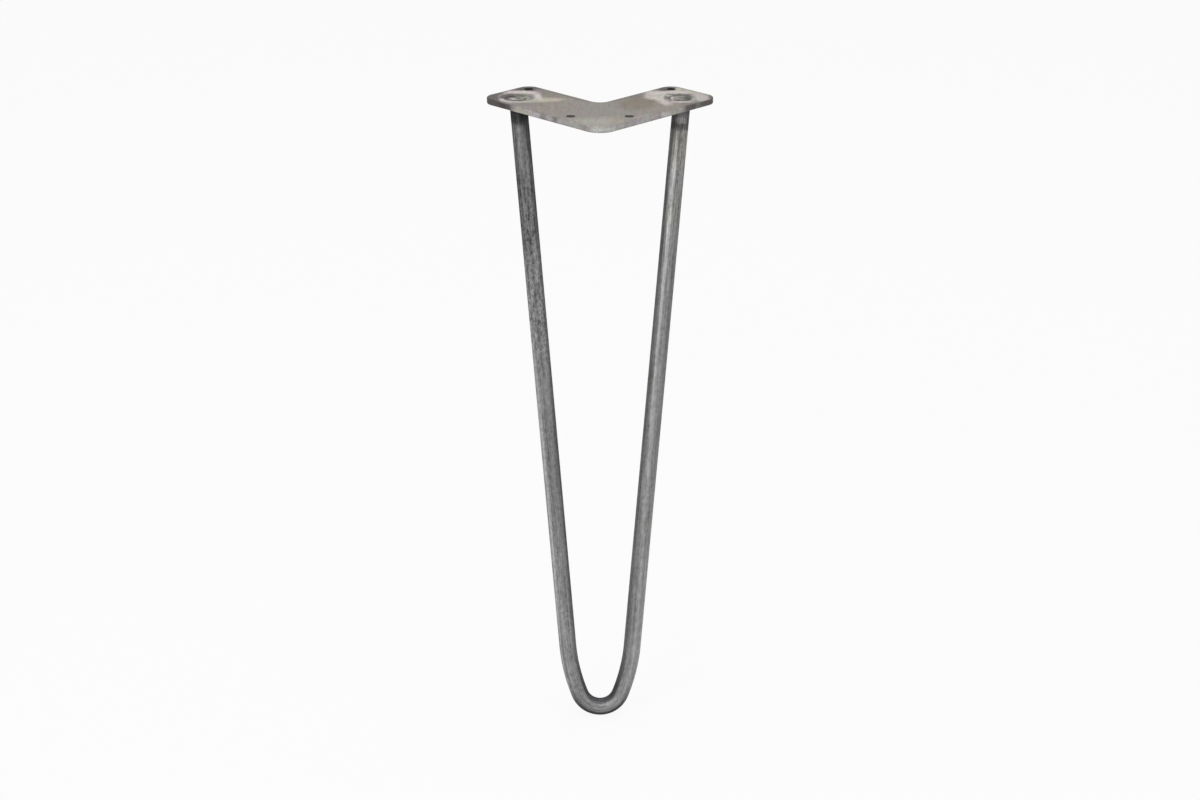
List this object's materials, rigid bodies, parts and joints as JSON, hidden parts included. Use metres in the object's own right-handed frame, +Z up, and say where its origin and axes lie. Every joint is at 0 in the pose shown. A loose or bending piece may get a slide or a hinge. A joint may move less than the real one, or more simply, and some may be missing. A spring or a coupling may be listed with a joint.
{
  "type": "hairpin table leg",
  "caption": "Raw steel hairpin table leg: a round rod bent into a narrow V is welded at its ends into a flat V-shaped screw plate and leans outward to a rounded foot.",
  "frame": {"origin": "on the mounting face (the plate's top), midway between the two front screw holes, on the leg's mirror plane", "axes": "+Z up, out of the mounting face; +Y from the plate's outer corner into the V between its arms; +X towards the right arm. The foot is below the outer corner, at -Y."},
  "size_m": [0.1274, 0.1023, 0.356],
  "materials": {
    "plate_steel": "bare hot-rolled sheet, ground bright round the welds",
    "rod_steel": "bare drawn bar with fine lengthwise streaks",
    "weld_metal": "bare weld, darkened by heat"
  },
  "bodies": {
    "root": {"mounting_plate": "plate_steel", "hairpin_rod": "rod_steel", "weld_left": "weld_metal", "weld_right": "weld_metal"}
  },
  "joints": []
}
